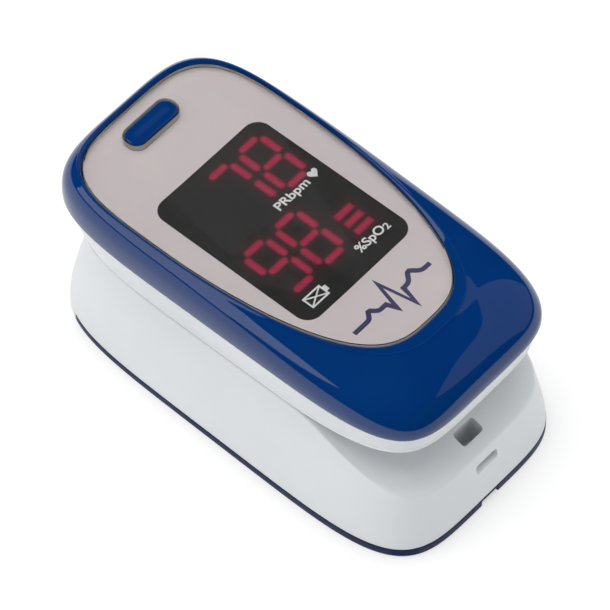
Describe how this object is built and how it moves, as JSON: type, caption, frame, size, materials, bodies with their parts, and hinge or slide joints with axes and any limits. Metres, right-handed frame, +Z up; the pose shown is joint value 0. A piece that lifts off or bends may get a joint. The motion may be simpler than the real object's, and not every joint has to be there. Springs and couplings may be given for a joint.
{
  "type": "fingertip pulse oximeter",
  "caption": "Spring-hinged clip that closes on a fingertip, with a sensor in its silicone-lined tunnel, a lit read-out under a clear face plate, a push button and a sliding battery door.",
  "frame": {"origin": "centre of the bounding box at the underside of the battery door", "axes": "+Z up through the display, +Y towards the end where the finger goes in, +X to the right when looking along +Y"},
  "size_m": [0.0322, 0.0597, 0.0288],
  "materials": {
    "blue_gloss": "glossy deep blue, moulded",
    "navy_plastic": "dark navy, semi-gloss",
    "white_plastic": "satin white, moulded",
    "clear_plastic": "clear polished acrylic, printed behind",
    "silicone": "soft matte grey silicone",
    "black_plastic": "black moulded plastic",
    "circuit_board": "green solder mask",
    "spring_steel": "bright plated steel",
    "battery": "printed foil sleeve on a steel can",
    "flex_film": "amber polyimide film"
  },
  "bodies": {
    "lower": {"lower_case": "white_plastic", "battery_tray": "white_plastic", "battery_left": "battery", "battery_right": "battery", "battery_spring_left": "spring_steel", "battery_spring_right": "spring_steel", "battery_contact_front": "spring_steel", "battery_contact_left": "spring_steel", "battery_contact_right": "spring_steel", "sensor_board": "circuit_board", "photodiode": "black_plastic", "photodiode_window": "clear_plastic", "lower_pad": "silicone", "hinge_pin": "spring_steel", "torsion_spring_left": "spring_steel", "torsion_spring_right": "spring_steel", "flex_cable": "flex_film"},
    "upper": {"upper_case": "white_plastic", "top_cover": "blue_gloss", "face_lens": "clear_plastic", "upper_pad": "silicone", "main_board": "circuit_board", "display_module": "black_plastic", "microcontroller": "black_plastic", "tact_switch": "black_plastic", "crystal": "spring_steel", "flex_connector": "white_plastic", "emitter_board": "circuit_board", "emitter_led": "clear_plastic", "emitter_window": "clear_plastic", "cover_screw_front_left": "spring_steel", "cover_screw_front_right": "spring_steel", "cover_screw_rear_left": "spring_steel", "cover_screw_rear_right": "spring_steel"},
    "button": {"power_button": "blue_gloss"},
    "door": {"battery_door": "navy_plastic"}
  },
  "joints": [
    {"name": "clip_hinge", "type": "hinge", "parent": "lower", "child": "upper", "pos_m": [0, -0.0115, 0.0158], "axis": [1, 0, 0], "range_deg": [0, 22], "stiffness_Nm_per_rad": 0.1, "deforming": ["torsion_spring_left", "torsion_spring_right", "flex_cable"]},
    {"name": "button_press", "type": "slide", "parent": "upper", "child": "button", "axis": [0, -0.0471, -0.9989], "range_m": [0, 0.0004], "stiffness_N_per_m": 1500},
    {"name": "battery_door_slide", "type": "slide", "parent": "lower", "child": "door", "axis": [0, -1, 0], "range_m": [0, 0.048]}
  ]
}
